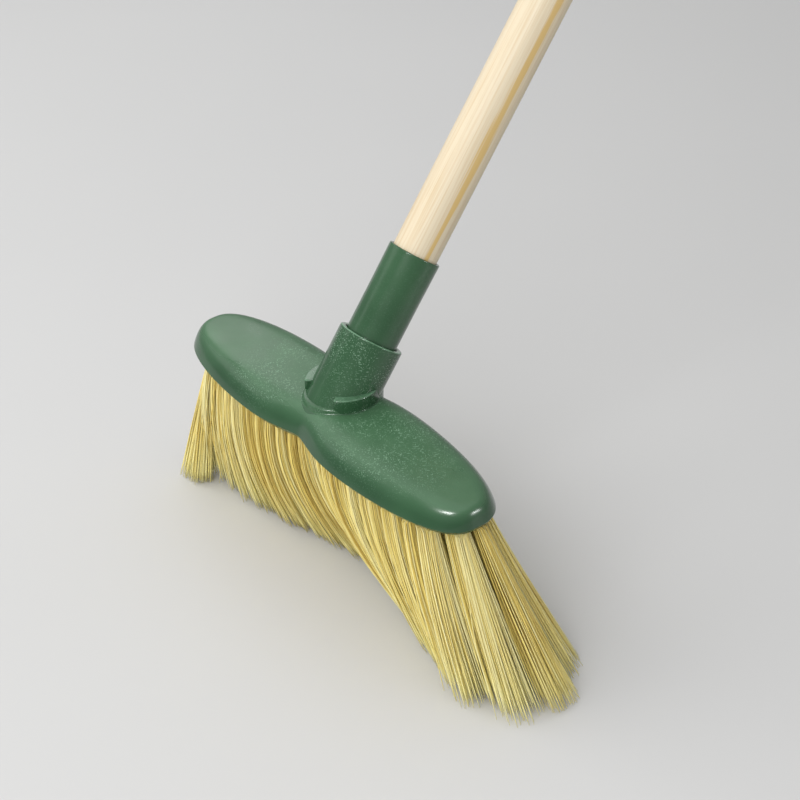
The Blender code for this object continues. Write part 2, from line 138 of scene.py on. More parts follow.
def make_piece(name: str, shells: list, body: Body, material: Material, node: str,
               sharp_angle: float = 50.0, merge: bool = True) -> Object:
    """Put shells into one mesh object, give it its finish and hang it on its body.

    Args:
        name: name of the piece.
        shells: the closed surfaces that make it up.
        body: the body it rides on.
        material: its finish.
        node: name of the CAD node that it stands for.
        sharp_angle: edges that bend more than this many degrees stay sharp.
        merge: join coinciding points, which closes poles and seams.

    Returns:
        The new object, at the origin.
    """
    starts = np.cumsum([0] + [len(shell.points) for shell in shells])
    points = np.concatenate([shell.points for shell in shells])
    faces = [tuple(int(start) + corner for corner in face)
             for start, shell in zip(starts, shells) for face in shell.faces]
    mesh = bpy.data.meshes.new(name)
    mesh.from_pydata(points.tolist(), [], faces)
    for key in sorted({key for shell in shells for key in shell.values}):
        attribute = mesh.attributes.new(key, 'FLOAT', 'POINT')
        values = [shell.values.get(key, np.zeros(len(shell.points))) for shell in shells]
        attribute.data.foreach_set("value", np.concatenate(values).astype(np.float32))
    mesh.update()
    if merge:
        bm = bmesh.new()
        bm.from_mesh(mesh)
        bmesh.ops.remove_doubles(bm, verts=bm.verts[:], dist=MERGE_DISTANCE)
        bm.to_mesh(mesh)
        bm.free()
    mesh.shade_smooth()
    mesh.set_sharp_from_angle(angle=math.radians(sharp_angle))
    mesh.materials.append(material)
    piece = bpy.data.objects.new(name, mesh)
    bpy.context.scene.collection.objects.link(piece)
    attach(piece, body.value)
    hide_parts(node)
    LOG.info("%s: %d faces, stands for %s", name, len(mesh.polygons), node)
    return piece


def arc(centre: tuple, radius: float, start: float, end: float, steps: int) -> Array:
    """Points (steps, 2) on an arc in a plane, at evenly spaced angles from start to end in degrees."""
    angles = np.radians(np.linspace(start, end, steps))
    return np.stack([centre[0] + radius * np.cos(angles), centre[1] + radius * np.sin(angles)], -1)


def bezier(first: Array, second: Array, third: Array, fourth: Array, steps: int) -> Array:
    """Cubic curves from the first points to the fourth, pulled by those between: (steps, n, 3)."""
    t = np.linspace(0, 1, steps)[:, None, None]
    u = 1 - t
    return u ** 3 * first + 3 * u ** 2 * t * second + 3 * u * t ** 2 * third + t ** 3 * fourth


def unit(vectors: Array) -> Array:
    """Vectors divided by their lengths."""
    return vectors / np.linalg.norm(vectors, axis=-1, keepdims=True)


def around(steps: int) -> Array:
    """Evenly spaced angles of one full turn."""
    return np.arange(steps) * 2 * math.pi / steps


def raised(plan: Array, height: object) -> Array:
    """Plan points (n, 2), each with its height or all with one, as places (n, 3)."""
    return np.column_stack([plan, np.broadcast_to(height, len(plan))])


def closing(row: Array) -> Array:
    """A row as long as the given one with all its points in the middle of it."""
    return np.broadcast_to(row.mean(0), row.shape)


def halved(low: Array, high: Array, past: Callable) -> Array:
    """Find by halving where a test starts to hold.

    Args:
        low: starts of the ranges, where it doesn't hold.
        high: their ends, where it does.
        past: takes one value from each range and tells where the test holds.

    Returns:
        The upper ends of what is left of the ranges.
    """
    for _ in range(HALVINGS):
        middle = (low + high) / 2
        held = past(middle)
        low, high = np.where(held, low, middle), np.where(held, middle, high)
    return high


# Finishes


class NodeSheet:
    """Adds shader nodes to one material in few words."""

    def __init__(self, name: str) -> None:
        """Start a material with a Principled shader."""
        self.material = bpy.data.materials.new(name)
        self.material.use_nodes = True
        self.tree = self.material.node_tree
        self.shader = self.tree.nodes["Principled BSDF"]
        self.column = 0

    def add(self, kind: str, settings: dict | None = None, **inputs: object) -> Node:
        """Add a node.

        Args:
            kind: Blender's name of the node type.
            settings: properties of the node.
            inputs: socket name, with _ for a space, to a value or to an output socket.

        Returns:
            The node.
        """
        node = self.tree.nodes.new(kind)
        self.column += 1
        node.location = (-220 * self.column, 0)
        for key, value in (settings or {}).items():
            setattr(node, key, value)
        for key, value in inputs.items():
            self.join(node.inputs[key.replace("_", " ")], value)
        return node

    def join(self, socket: NodeSocket, value: object) -> None:
        """Link an output to a socket, or set the socket's value."""
        if isinstance(value, NodeSocket):
            self.tree.links.new(value, socket)
        else:
            socket.default_value = value

    def surface(self, **inputs: object) -> None:
        """Give the shader its values or outputs by socket name, with _ for a space."""
        for key, value in inputs.items():
            self.join(self.shader.inputs[key.replace("_", " ")], value)

    def attribute(self, name: str) -> NodeSocket:
        """A value that the mesh carries in each point."""
        return self.add("ShaderNodeAttribute", {"attribute_name": name}).outputs["Fac"]

    def place(self, centre: tuple = (0, 0, 0), turn: tuple = (0, 0, 0), scale: tuple = (1, 1, 1),
              source: NodeSocket | None = None) -> NodeSocket:
        """Coordinates taken from a centre, then turned and scaled.

        Args:
            centre: the point that becomes the origin.
            turn: turn about each axis in degrees.
            scale: factor along each turned axis.
            source: what they start from, or None for the object's own coordinates.

        Returns:
            The vector output.
        """
        if source is None:
            source = self.add("ShaderNodeTexCoord").outputs["Object"]
        away, angles = tuple(-c for c in centre), tuple(math.radians(a) for a in turn)
        for step in ({"Location": away}, {"Rotation": angles}, {"Scale": scale}):
            source = self.add("ShaderNodeMapping", Vector=source, **step).outputs[0]
        return source

    def noise(self, vector: NodeSocket, scale: float, detail: float = 2.0,
              roughness: float = 0.5) -> NodeSocket:
        """Smooth random values from 0 to 1, with the given grain per metre."""
        return self.add("ShaderNodeTexNoise", Vector=vector, Scale=scale, Detail=detail,
                        Roughness=roughness).outputs["Fac"]

    def range(self, value: NodeSocket, low: float, high: float, to_low: float = 0.0,
              to_high: float = 1.0) -> NodeSocket:
        """Stretch values from low..high to to_low..to_high, held at both ends."""
        node = self.add("ShaderNodeMapRange", {"clamp": True})
        for number, item in enumerate((value, low, high, to_low, to_high)):
            self.join(node.inputs[number], item)
        return node.outputs[0]

    def maths(self, kind: str, first: object, second: object = 0.0) -> NodeSocket:
        """One sum of two values."""
        node = self.add("ShaderNodeMath", {"operation": kind})
        self.join(node.inputs[0], first)
        self.join(node.inputs[1], second)
        return node.outputs[0]

    def times(self, first: object, second: object) -> NodeSocket:
        """Product of two values."""
        return self.maths('MULTIPLY', first, second)

    def blend(self, share: object, first: object, second: object) -> NodeSocket:
        """Mix two colours by a share."""
        node = self.add("ShaderNodeMix", {"data_type": 'RGBA'}, Factor=share)
        for socket, value in ((node.inputs[6], first), (node.inputs[7], second)):
            self.join(socket, value if isinstance(value, NodeSocket) else (*value, 1.0))
        return node.outputs[2]

    def dots(self, vector: NodeSocket, size: float, share: float) -> NodeSocket:
        """Small separate marks with soft rims, one in each random cell.

        Args:
            vector: place, one cell to a unit.
            size: radius of a mark, in cells.
            share: share of the cells that have a mark.

        Returns:
            1 on a mark and 0 between.
        """
        cell = self.add("ShaderNodeTexVoronoi", Vector=vector, Scale=1.0)
        mark = self.range(cell.outputs["Distance"], size, size * 0.55)
        pick = self.add("ShaderNodeSeparateColor", Color=cell.outputs["Color"]).outputs[0]
        return self.times(mark, self.range(pick, share, share - 0.02))

    def ball(self, centre: tuple, radii: tuple, full: float) -> NodeSocket:
        """A soft patch: 0 at the skin of an ellipsoid, full at a share of the way to its middle."""
        place = self.place(centre, scale=tuple(1 / radius for radius in radii))
        fall = self.add("ShaderNodeTexGradient", {"gradient_type": 'SPHERICAL'}, Vector=place)
        return self.range(fall.outputs["Fac"], 0.0, full)

    def bump(self, height: NodeSocket, strength: float, distance: float) -> None:
        """Raise the shader's surface by a height, in metres at full strength."""
        node = self.add("ShaderNodeBump", Height=height, Strength=strength, Distance=distance)
        self.surface(Normal=node.outputs[0])


@dataclass(frozen=True)
class Finish(ABC):
    """A material made of nodes alone."""

    name: str

    @abstractmethod
    def lay(self, sheet: NodeSheet) -> None:
        """Lay the colours, the roughness and the grain."""

    def make(self) -> Material:
        """Build the material and return it."""
        sheet = NodeSheet(self.name)
        self.lay(sheet)
        return sheet.material


@dataclass(frozen=True)
class GreenPlastic(Finish):
    """Satin polypropylene, finely scuffed, paler on top from dust and from painted light, with a painted
    highlight on rims and edges.
    """

    name: str = "green plastic"
    deep: tuple = (0.020, 0.066, 0.028)
    plain: tuple = (0.028, 0.086, 0.037)
    # Paler green on top: dust, and painted light on upward faces.
    dust_and_light_green: tuple = (0.072, 0.172, 0.085)
    scuffed: tuple = (0.27, 0.46, 0.31)
    # Colour of the painted highlight on rims and edges.
    rubbed: tuple = (0.22, 0.42, 0.26)
    roughness: float = 0.17
    worn_roughness: float = 0.36
    scuff_roughness: float = 0.50
    # How much paler green shows, partly dust and partly painted light; None takes it from the mesh.
    wear: float | None = None
    marks: float = 0.60
    patches: tuple = ()

    def lay(self, sheet: NodeSheet) -> None:
        """Lay a paler green on top, partly dust and partly painted light, over cloudy green, then the
        scuffs, then the painted highlight on the edges.
        """
        place = sheet.place()
        clouds = sheet.range(sheet.noise(place, 22, 3), 0.35, 0.65)
        # The paler green is partly dust and partly painted light on upward faces.
        if self.wear is None:
            wear = sheet.attribute("wear")
        else:
            wear = sheet.range(clouds, 0.0, 1.0, self.wear * 0.8, self.wear)
        dust_and_light_amount = sheet.times(wear, sheet.range(sheet.noise(place, 38, 3, 0.6), 0.3, 0.7, 0.55, 0.9))
        scuffs = self.lay_scuffs(sheet, place)
        uneven = sheet.range(sheet.noise(place, 260), 0.3, 0.6, 0.45, 1.0)
        rubbed = sheet.times(sheet.attribute("rubbed"), uneven)
        # Paler green over the cloudy green: dust and painted light on top.
        colour = sheet.blend(dust_and_light_amount, sheet.blend(clouds, self.deep, self.plain), self.dust_and_light_green)
        # Painted highlight on rims and edges, over the scuffs.
        colour = sheet.blend(rubbed, sheet.blend(scuffs, colour, self.scuffed), self.rubbed)

        rough = sheet.range(sheet.noise(place, 45), 0.3, 0.7, self.roughness - 0.03, self.roughness + 0.04)
        rough = sheet.maths('ADD', rough, sheet.times(dust_and_light_amount, self.worn_roughness - self.roughness))
        rough = sheet.maths('ADD', rough, sheet.times(scuffs, self.scuff_roughness - self.roughness))
        sheet.surface(Base_Color=colour, Roughness=rough, Specular_IOR_Level=0.5)
        grain = sheet.times(sheet.noise(place, 420), 0.25)
        sheet.bump(sheet.maths('SUBTRACT', grain, sheet.times(scuffs, 0.6)), 0.25, 0.0001)

    def lay_scuffs(self, sheet: NodeSheet, place: NodeSocket) -> NodeSocket:
        """Dots of two sizes and strokes in two directions, inside the patches or all over.

        Args:
            sheet: the material's nodes.
            place: plain coordinates.

        Returns:
            How much each point is scuffed.
        """
        region = sheet.range(sheet.noise(place, 60, 3, 0.6), 0.30, 0.52)
        patches = [sheet.ball(centre, radii, 0.55) for centre, radii in self.patches]
        for patch in patches[1:]:
            patches[0] = sheet.maths('MAXIMUM', patches[0], patch)
        if patches:
            region = sheet.times(patches[0], region)
        dots = sheet.dots(sheet.place(scale=(640, 640, 640)), 0.25, 0.80)
        finer = sheet.dots(sheet.place((0.01, 0.02, 0.03), scale=(1050, 1050, 1050)), 0.32, 0.80)
        scuffs = sheet.maths('MAXIMUM', dots, sheet.times(finer, 0.7))
        for turn in ((20, 15, 35), (-15, 25, -50)):
            strokes = sheet.dots(sheet.place(turn=turn, scale=(800, 190, 800)), 0.26, 0.55)
            scuffs = sheet.maths('MAXIMUM', scuffs, strokes)
        return sheet.times(sheet.times(scuffs, region), self.marks)


@dataclass(frozen=True)
class TurnedPine(Finish):
    """Pale straight-grained softwood, sanded, with one golden streak of darker wood."""

    name: str = "pale pine"
    lean: float = 35.7
    foot: tuple = (0.0, 0.0, 0.0)
    heart: tuple = (0.055, 0.045, 0.0)
    streak_side: float = 0.0040
    pale: tuple = (0.73, 0.63, 0.46)
    warm: tuple = (0.62, 0.46, 0.26)
    streak: tuple = (0.64, 0.42, 0.12)

    def lay(self, sheet: NodeSheet) -> None:
        """Lay growth rings round a heart beside the pole, fibres along it and the streak on one side."""
        pole = sheet.place(self.foot, (self.lean, 0, 0))

        def along(scale: tuple, centre: tuple = (0, 0, 0)) -> NodeSocket:
            """Pole coordinates with their own scale along each axis."""
            return sheet.place(centre, scale=scale, source=pole)

        waves = {"wave_type": 'RINGS', "rings_direction": 'Z', "wave_profile": 'SAW'}
        rings = sheet.add("ShaderNodeTexWave", waves, Vector=along((1, 1, 0.012), self.heart), Scale=95.0,
                          Distortion=1.6, Detail=2.0, Detail_Scale=1.2)
        late = sheet.range(rings.outputs["Fac"], 0.55, 1.0)
        fibre = sheet.range(sheet.noise(along((900, 900, 13)), 1.0, 3, 0.6), 0.48, 0.66)
        colour = sheet.blend(sheet.times(late, 0.25), self.pale, self.warm)
        colour = sheet.blend(sheet.times(fibre, 0.55), colour, self.warm)

        across = sheet.add("ShaderNodeSeparateXYZ", Vector=pole).outputs
        drift = sheet.noise(along((1, 1, 0.06)), 22)
        wander = sheet.range(drift, 0.35, 0.65, self.streak_side - 0.0020, self.streak_side + 0.0020)
        aside = sheet.maths('ABSOLUTE', sheet.maths('ADD', across["Y"], wander))
        ragged = sheet.range(sheet.noise(along((700, 700, 12)), 1.0), 0.3, 0.7, -0.0008, 0.0008)
        swell = sheet.noise(along((1, 1, 1), (0.1, 0.3, 0.02)), 15, 1)
        swell = sheet.range(swell, 0.46, 0.62, 0.0002, 0.0015)
        beyond = sheet.maths('SUBTRACT', sheet.maths('ADD', aside, ragged), swell)
        band = sheet.times(sheet.range(beyond, 0.0010, 0.0), sheet.range(across["X"], 0.004, 0.007))
        colour = sheet.blend(sheet.times(band, 0.85), colour, self.streak)
        rough = sheet.range(fibre, 0.0, 1.0, 0.46, 0.60)
        sheet.surface(Base_Color=colour, Roughness=rough, Specular_IOR_Level=0.4)
        sheet.bump(sheet.maths('ADD', sheet.times(fibre, -0.7), sheet.times(late, 0.3)), 0.35, 0.0001)


@dataclass(frozen=True)
class BradSteel(Finish):
    """Bright wire-nail steel, dulled a little by handling."""

    name: str = "brad steel"
    clean: tuple = (0.60, 0.60, 0.58)
    dull: tuple = (0.30, 0.31, 0.29)

    def lay(self, sheet: NodeSheet) -> None:
        """Lay dull stains on the bright metal."""
        place = sheet.place()
        stain = sheet.range(sheet.noise(place, 1500, 3), 0.4, 0.65)
        sheet.surface(Base_Color=sheet.blend(stain, self.clean, self.dull), Metallic=1.0,
                      Roughness=sheet.range(stain, 0.0, 1.0, 0.30, 0.50))
        sheet.bump(sheet.noise(place, 2500), 0.2, 0.00005)


@dataclass(frozen=True)
class StrawBristle(Finish):
    """Straw-coloured extruded plastic, bleached at the split tips, with painted shade near the root under
    the head.
    """

    name: str = "straw bristle"
    # Deep golden tone of some strands; near the root it also serves as painted shade.
    shade: tuple = (0.60, 0.42, 0.09)
    straw: tuple = (0.93, 0.76, 0.22)
    pale: tuple = (0.99, 0.92, 0.48)
    tip: tuple = (0.95, 0.92, 0.44)

    def lay(self, sheet: NodeSheet) -> None:
        """Lay the colours by each strand's tone and by how far along it a point lies."""
        tone, run = sheet.attribute("strand_tone"), sheet.attribute("strand_run")
        mottle = sheet.range(sheet.noise(sheet.place(scale=(400, 400, 90)), 1.0), 0.45, 0.7)
        colour = sheet.blend(sheet.range(tone, 0.0, 0.5), self.shade, self.straw)
        colour = sheet.blend(sheet.range(tone, 0.5, 1.0), colour, self.pale)
        # Painted shade near the root, under the head.
        colour = sheet.blend(sheet.times(sheet.range(run, 0.20, 0.0), 0.25), colour, self.shade)
        colour = sheet.blend(sheet.times(sheet.range(run, 0.62, 1.0), 0.55), colour, self.tip)
        colour = sheet.blend(sheet.times(mottle, 0.15), colour, self.shade)
        rough = sheet.range(tone, 0.0, 1.0, 0.36, 0.50)
        sheet.surface(Base_Color=colour, Roughness=rough, Specular_IOR_Level=0.5)
        sheet.bump(mottle, 0.2, 0.00005)


@dataclass(frozen=True)
class PaleFloor(Finish):
    """A plain pale floor with a hint of cloud."""

    name: str = "pale floor"
    colour: tuple = (0.61, 0.61, 0.607)
    lighter: float = 1.04

    def lay(self, sheet: NodeSheet) -> None:
        """Lay wide clouds between the colour and a slightly lighter one."""
        cloud = sheet.range(sheet.noise(sheet.place(), 1.4, 3), 0.3, 0.7)
        light = tuple(self.lighter * part for part in self.colour)
        sheet.surface(Base_Color=sheet.blend(cloud, self.colour, light), Roughness=0.6)


# The head


@dataclass
class HeadBlock:
    """The two-lobed domed block, drawn in at the waist.

    Every place is given from the middle of its underside, in metres.
    """

    middle: tuple = (-0.0262197, -0.3427673)
    underside: float = 0.104
    length: float = 0.2703
    width: float = 0.0754
    outline_power: float = 2.76
    waist_depth: float = 0.0085
    waist_reach: float = 0.0225
    waist_power: float = 1.5
    skirt: float = 0.0033
    draft: float = 0.0025
    dome: float = 0.0163
    dome_power: float = 6.2
    spine_end: float = 0.014
    crown_drop: float = 0.0056
    crown_power: float = 2.5
    edge: float = 0.0006
    columns: int = 560
    dome_rows: int = 60
    outline_samples: int = 6001
    profile_samples: int = 4001
    row_power: float = 1.25
    crest_share: float = 0.05
    dust_and_light_from: float = 0.93
    dust_and_light_over: float = 0.25
    slope_step: float = 1e-4

    def half_width(self, x: Array) -> Array:
        """Half width at x: a superellipse times one minus a waist that falls off on both sides."""
        along = np.clip(np.abs(x) / (self.length / 2), 0, 1)
        full = self.width / 2 * (1 - along ** self.outline_power) ** (1 / self.outline_power)
        waist = np.exp(-(np.abs(x) / self.waist_reach) ** self.waist_power)
        return full * (1 - self.waist_depth / (self.width / 2) * waist)

    def outline(self) -> Array:
        """Outline (columns, 2), anticlockwise from the left tip, evenly spaced by length."""
        x = self.length / 2 * np.sin(np.linspace(-math.pi / 2, math.pi / 2, self.outline_samples))
        front = np.stack([x, -self.half_width(x)], -1)
        back = np.stack([x[::-1], self.half_width(x[::-1])], -1)
        line = np.concatenate([front, back[1:]])
        run = np.concatenate([[0], np.cumsum(np.linalg.norm(np.diff(line, axis=0), axis=1))])
        wanted = np.linspace(0, run[-1], self.columns, endpoint=False)
        return np.stack([np.interp(wanted, run, line[:, 0]), np.interp(wanted, run, line[:, 1])], -1)

    def along_share(self, share: Array) -> Array:
        """What an outline shrunk by a share keeps of its length: the spine and that share of the rest."""
        spine = 1 - self.spine_end / (self.length / 2)
        return spine + (1 - spine) * share

    def height(self, x: Array, y: Array) -> Array:
        """Height of the dome over a point of its plan, above the underside.

        The point lies on the outline shrunk towards the spine by some share, found by halving. The height
        is the skirt plus the dome's height times one minus that share to the dome's power, less the drop.

        Args:
            x: places along the head.
            y: places across it.

        Returns:
            The heights, an array like x.
        """
        def inside(share: Array) -> Array:
            """Whether the outline shrunk by the share lies outside the point."""
            return self.half_width(x / self.along_share(share)) * share > np.abs(y)

        share = halved(np.zeros_like(x), np.ones_like(x), inside)
        return self.sunk(x, self.skirt + self.dome * (1 - share ** self.dome_power))

    def sunk(self, x: Array, height: Array) -> Array:
        """Height less the drop: a power of the place along the head, in proportion to the height."""
        drop = self.crown_drop * np.abs(x / (self.length / 2)) ** self.crown_power
        return height - drop * height / (self.skirt + self.dome)

    def normal(self, x: Array, y: Array) -> Array:
        """Upward normal of the dome over a point, from the height's slopes."""
        step = self.slope_step
        slope_x = (self.height(x + step, y) - self.height(x - step, y)) / (2 * step)
        slope_y = (self.height(x, y + step) - self.height(x, y - step)) / (2 * step)
        return unit(np.stack([-slope_x, -slope_y, np.ones_like(x)], -1))

    def to_frame(self, points: Array) -> Array:
        """Places from the head's own measure to the shared frame."""
        return points + np.array([*self.middle, self.underside])

    def dome_rows_and_wear(self) -> tuple:
        """Skirt and dome as rows from the bottom edge up to a narrow gap along the crest.

        A row is the outline shrunk by its share. The shares are spaced by length along the dome's
        cross-section, closer near the skirt.

        Returns:
            Array (rows, columns, 3), and how pale each row is, partly from dust and partly from painted
            light on the top, array (rows, 1).
        """
        fine = np.linspace(1, self.crest_share, self.profile_samples)
        rise = self.dome * (1 - fine ** self.dome_power)
        run = np.concatenate([[0], np.cumsum(np.hypot(np.diff(rise), np.diff(fine) * self.width / 2))])
        share = np.interp(np.linspace(0, 1, self.dome_rows) ** self.row_power * run[-1], run, fine)
        height = self.skirt + self.dome * (1 - share ** self.dome_power)
        bottom = arc((0, 0), self.edge, -90, 0, 5)
        low_height = np.concatenate([self.edge + bottom[:, 1], np.linspace(self.edge, self.skirt, 5)[1:-1]])
        inset = np.concatenate([self.edge - bottom[:, 0], np.zeros(3)])
        inset += self.draft * (1 - low_height / self.skirt)
        share = np.concatenate([1 - inset / (self.width / 2), share])[:, None]
        height = np.concatenate([low_height, height])[:, None]
        outline = self.outline()
        x = outline[:, 0] * self.along_share(share)
        # Paler from the shoulder onto the top: partly dust, partly painted light on the upward faces.
        wear = np.clip((self.dust_and_light_from - share) / self.dust_and_light_over, 0, 1)
        return np.stack([x, outline[:, 1] * share, self.sunk(x, height)], -1), wear

    def crest_faces(self, first: int) -> list:
        """Faces across the gap along the crest, from the front line straight to the back line.

        The outline starts at the left tip, runs along the front to the right tip, half way through its
        columns, and comes back behind. So a column and its mirror image add up to the number of columns.

        Args:
            first: number of the first point of the dome's last row.

        Returns:
            The faces, anticlockwise seen from above.
        """
        half = self.columns // 2
        front = np.arange(1, half - 1)
        back = self.columns - front
        quads = np.stack([front, front + 1, back - 1, back], -1) + first
        ends = np.array([[0, 1, self.columns - 1], [half - 1, half, half + 1]]) + first
        return quads.tolist() + ends.tolist()

    def shell(self) -> Shell:
        """Skirt and dome, open below."""
        rows, wear = self.dome_rows_and_wear()
        shell = grid_shell(rows, wear=wear)
        shell.faces += self.crest_faces((len(rows) - 1) * self.columns)
        return shell


@dataclass
class TuftHoles:
    """The blind holes in the underside: four rows and three holes at each round end."""

    head: HeadBlock
    margin: float = 0.0100
    pitch: float = 0.0184
    outer_columns: int = 12
    inner_columns: int = 11
    inner_share: float = 1 / 3
    end_inset: float = 0.01065
    pair_inset: float = 0.02215
    pair_offset: float = 0.012
    radius: float = 0.0036
    depth: float = 0.010
    blind_radius: float = 0.6
    blind_rise: tuple = (0.0008, 0.001)
    sides: int = 28

    def places(self) -> list:
        """Name and centre of each hole, and which way the tuft in it parts.

        Returns:
            List of (node name, x, y, direction in degrees from X).
        """
        found = []
        rows = (("front", self.outer_columns, -1.0), ("mid_front", self.inner_columns, -self.inner_share),
                ("mid_back", self.inner_columns, self.inner_share), ("back", self.outer_columns, 1.0))
        for row, columns, share in rows:
            x = (np.arange(columns) - (columns - 1) / 2) * self.pitch
            y = share * (self.head.half_width(x) - self.margin)
            turn = np.degrees(np.arctan(np.gradient(y, x)))
            found += [(f"tuft_{row}_{number:02d}", *at) for number, at in enumerate(zip(x, y, turn), 1)]
        for side in Side:
            pair = side.value * (self.head.length / 2 - self.pair_inset)
            end = side.value * (self.head.length / 2 - self.end_inset)
            found += [(f"tuft_{side.name.lower()}_{place}", *rest) for place, *rest in (
                ("front", pair, -self.pair_offset, side.value * 45.0),
                ("end", end, 0.0, 90.0),
                ("back", pair, self.pair_offset, side.value * -45.0))]
        return found

    def walls(self) -> list:
        """Each hole's wall and blind end as rings from the mouth up: arrays (rows, sides, 3)."""
        angle = around(self.sides)
        radius = np.array([1.0, 1.0, self.blind_radius, 0.0])[:, None] * self.radius
        height = np.array([0.0, self.depth, *(self.depth + rise for rise in self.blind_rise)])[:, None]
        rings = np.stack([radius * np.cos(angle), radius * np.sin(angle), height + 0 * angle], -1)
        return [rings + np.array([x, y, 0.0]) for _, x, y, _ in self.places()]

    def shells(self, rim: Array) -> list:
        """Flat underside between the outer rim and every hole's mouth, and the holes.

        The triangles of the flat face join points of different rings or of the rim alone. Those that join
        points of one mouth alone would close that hole, so they are left out.

        Args:
            rim: points of the bottom row of the dome's shell.

        Returns:
            List of shells: the flat face and every hole, seen from inside.
        """
        walls = self.walls()
        rings = [rim] + [wall[0] for wall in walls]
        points = np.concatenate(rings)
        edges, start = [], 0
        for ring in rings:
            number = start + np.arange(len(ring))
            edges += np.stack([number, np.roll(number, -1)], -1).tolist()
            start += len(ring)
        found = delaunay_2d_cdt([Vector(point[:2]) for point in points], edges, [], 1, 1e-7)
        corners = np.array([tuple(face) for face in found[2]])
        origin = np.array([sources[0] for sources in found[3]])
        owner = np.concatenate([np.full(len(ring), number) for number, ring in enumerate(rings)])
        owners = owner[origin[corners]]
        keep = (owners.max(1) != owners.min(1)) | (owners.max(1) == 0)
        faces = origin[corners[keep]][:, ::-1]
        return [Shell(points, faces.tolist())] + [grid_shell(wall, flip=True) for wall in walls]


@dataclass
class Socket:
    """The leaning tube that holds the handle, flowing into the dome at its foot."""

    head: HeadBlock
    lean: float = math.radians(35.7)
    foot_y: float = 0.0033
    foot_z: float = 0.015
    radius: float = 0.0209
    length: float = 0.0439
    bore: float = 0.0171
    floor: float = 0.012
    rim_round: float = 0.0009
    mouth_chamfer: float = 0.0006
    lip: float = 0.0004
    corner: float = 0.001
    fillet: float = 0.0016
    fillet_rise: float = 1.3
    fillet_pull: float = 0.6
    root_out: float = 0.0006
    root_down: float = 0.0003
    root_depth: float = 0.002
    reach: float = 0.03
    side_rows: int = 14
    columns: int = 192
    # Paler green on the tube, partly dust; kept low as painted shade, so the tube stays darker than the
    # dome's top.
    wear: float = 0.12
    # Painted highlight along the rim: its strength, and how far below the rim's top it starts and fades in.
    rubbed: float = 0.9
    edge_highlight_from: float = 0.0006
    edge_highlight_over: float = 0.0004

    def axis(self) -> Array:
        """Direction of the tube's axis."""
        return np.array([0.0, math.sin(self.lean), math.cos(self.lean)])

    def foot(self) -> Array:
        """The point on the axis from which heights are measured."""
        return np.array([0.0, self.foot_y, self.foot_z])

    def ring(self, height: Array, radius: object) -> Array:
        """Circles round the axis: foot plus height along the axis plus radius outwards, for each angle.

        Args:
            height: heights along the axis, one for each row, or an array (rows, columns).
            radius: radii, one for each row or one for all.

        Returns:
            Array (rows, columns, 3).
        """
        angle = around(self.columns)
        outward = np.stack([np.cos(angle), np.sin(angle) * math.cos(self.lean),
                            -np.sin(angle) * math.sin(self.lean)], -1)
        height = height[:, None, None] if height.ndim == 1 else height[..., None]
        radius = np.broadcast_to(radius, len(height))[:, None, None]
        return self.foot() + height * self.axis() + radius * outward

    def landing(self) -> Array:
        """Height along each straight line down the tube's side at which it meets the dome: (columns,)."""
        def above(height: Array) -> Array:
            """Whether the places at these heights are above the dome."""
            point = self.ring(height[None], self.radius)[0]
            return point[:, 2] > self.head.height(point[:, 0], point[:, 1])

        return halved(np.full(self.columns, -self.reach), np.full(self.columns, self.reach), above)

    def foot_rows(self, height: Array) -> Array:
        """The fillet round the foot, from the dome up to the tube.

        Each column is a cubic curve that leaves the dome along its surface and ends along the tube's line.
        Three rows under the dome's surface close the foot.

        Args:
            height: where each line of the tube's side meets the dome.

        Returns:
            Array (rows, columns, 3).
        """
        meet = self.ring(height[None], self.radius)[0][:, :2]
        outward = unit(meet - self.ring(height[None], 0.0)[0][:, :2])
        start = meet + self.fillet * outward
        base = raised(start, self.head.height(*start.T))
        normal = self.head.normal(*start.T)
        flat = raised(outward, 0.0)
        tangent = unit(flat - (flat * normal).sum(1, keepdims=True) * normal)
        top = self.ring((height + self.fillet_rise * self.fillet)[None], self.radius)[0]
        pull = self.fillet_pull * self.fillet
        curve = bezier(base, base - pull * tangent, top - self.fillet_rise * pull * self.axis(), top, 12)
        root = base + self.root_out * tangent - self.root_down * normal
        under = root - np.array([0, 0, self.root_depth])
        return np.stack([closing(under), under, root, *curve])

    def shell(self) -> Shell:
        """The whole tube: foot, outside, rounded rim, mouth, bore and floor, with a painted highlight on its
        rim.
        """
        height = self.landing()
        first = height + self.fillet_rise * self.fillet
        top = self.length - self.rim_round
        share = np.linspace(0, 1, self.side_rows + 1)[1:, None]
        outside = self.ring(first * (1 - share) + top * share, self.radius)
        mouth = self.bore + self.mouth_chamfer
        # Rounded rim, flat top, rounded lip, bore and floor
        profile = np.concatenate([
            arc((self.radius - self.rim_round, top), self.rim_round, 0, 90, 7)[1:],
            [[self.radius - 0.0014, self.length], [mouth + 0.0005, self.length]],
            arc((mouth + self.lip, self.length - self.lip), self.lip, 90, 180, 5),
            [[self.bore, self.length - 0.0012], [self.bore, self.length - 0.004],
             [self.bore, self.floor + self.corner], [self.bore - self.corner, self.floor], [0, self.floor]],
        ])
        rows = np.concatenate([self.foot_rows(height), outside, self.ring(profile[:, 1], profile[:, 0])])
        height = (rows - self.foot()) @ self.axis()
        # Painted highlight on the rim's edge.
        near_rim = np.clip((height - self.length + self.edge_highlight_from) / self.edge_highlight_over, 0, 1)
        return grid_shell(rows, wear=self.wear, rubbed=self.rubbed * near_rim)


